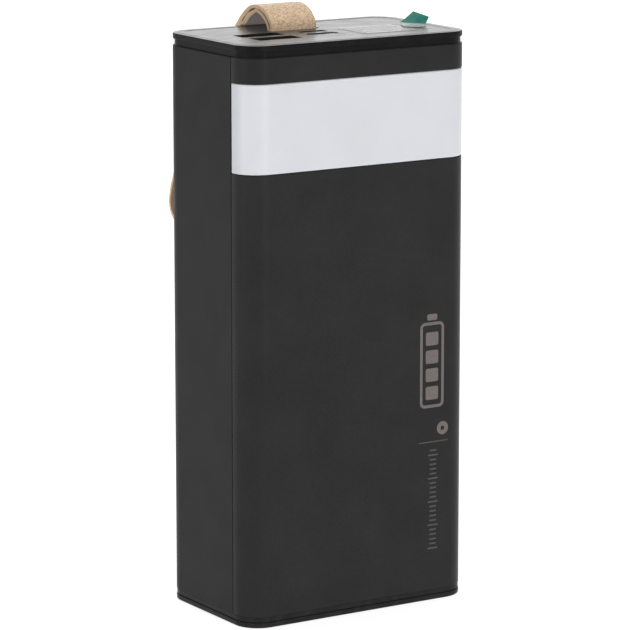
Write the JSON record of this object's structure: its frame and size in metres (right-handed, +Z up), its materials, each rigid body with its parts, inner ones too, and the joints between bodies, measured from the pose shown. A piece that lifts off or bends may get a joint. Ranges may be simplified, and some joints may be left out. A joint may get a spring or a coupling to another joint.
{
  "type": "power bank",
  "caption": "Upright rectangular power bank with a wrap-round lamp bar, USB sockets and a power button on top, and a leather wrist strap through the top cap.",
  "frame": {"origin": "centre of the flat underside the power bank stands on", "axes": "+Z up the case, +X to the user's right when looking at the lamp side, -Y out of the lamp side"},
  "size_m": [0.0694, 0.0728, 0.1592],
  "materials": {
    "case_textured": "moulded plastic with a fine crossed texture",
    "case_smooth": "smooth satin moulded plastic",
    "gloss_black": "glossy black moulded plastic",
    "panel_gloss": "polished black sheet plastic",
    "lamp_white": "milky translucent diffuser plastic",
    "white_plastic": "white moulded plastic",
    "black_plastic": "black moulded plastic",
    "steel": "plated drawn steel",
    "circuit_board": "green solder mask over glass-fibre board",
    "led_phosphor": "yellow phosphor over a white package",
    "cell_foil": "embossed aluminium laminate pouch",
    "foam": "grey closed-cell foam",
    "ferrite": "moulded ferrite",
    "strap_leather": "tan glittered synthetic leather",
    "clear_film": "thin clear protective film",
    "tab_green": "green printed film",
    "wire_red": "silicone insulated wire",
    "wire_black": "silicone insulated wire"
  },
  "bodies": {
    "case": {"front_cover": "case_textured", "rear_shell": "case_smooth", "lamp_diffuser": "lamp_white", "base_cap": "gloss_black", "top_cap": "gloss_black", "top_panel": "panel_gloss", "top_cap_screw_1": "steel", "top_cap_screw_2": "steel", "top_cap_screw_3": "steel", "top_cap_screw_4": "steel", "lamp_reflector": "white_plastic", "lamp_board": "circuit_board", "lamp_led_1": "led_phosphor", "lamp_led_2": "led_phosphor", "lamp_led_3": "led_phosphor", "lamp_led_4": "led_phosphor", "lamp_led_5": "led_phosphor", "lamp_led_6": "led_phosphor", "usb_a_socket_rear": "steel", "usb_a_socket_front": "steel", "usb_a_tongue_rear": "white_plastic", "usb_a_tongue_front": "white_plastic", "usb_c_socket": "steel", "usb_c_tongue": "black_plastic", "micro_usb_socket": "steel", "micro_usb_tongue": "black_plastic", "button_switch": "black_plastic", "display_module": "black_plastic", "status_light_pipe": "lamp_white", "display_film": "clear_film", "film_pull_tab": "tab_green", "strap_arch": "strap_leather", "strap_pin": "steel", "cell_tray": "black_plastic", "battery_cell_1": "cell_foil", "battery_cell_2": "cell_foil", "battery_cell_3": "cell_foil", "foam_pad_1": "foam", "foam_pad_2": "foam", "protection_board": "circuit_board", "main_board": "circuit_board", "boost_coil_1": "ferrite", "boost_coil_2": "ferrite", "charge_controller_chip": "black_plastic", "cell_lead_red": "wire_red", "cell_lead_black": "wire_black", "lamp_lead": "wire_black"},
    "button": {"power_button": "gloss_black"},
    "strap": {"strap_loop": "strap_leather"}
  },
  "joints": [
    {"name": "power_button_press", "type": "slide", "parent": "case", "child": "button", "axis": [0, 0, -1], "range_m": [0, 0.0006], "stiffness_N_per_m": 1500},
    {"name": "strap_lift", "type": "hinge", "parent": "case", "child": "strap", "pos_m": [-0.0036, 0.015, 0.1582], "axis": [1, 0, 0], "range_deg": [0, 100]}
  ]
}
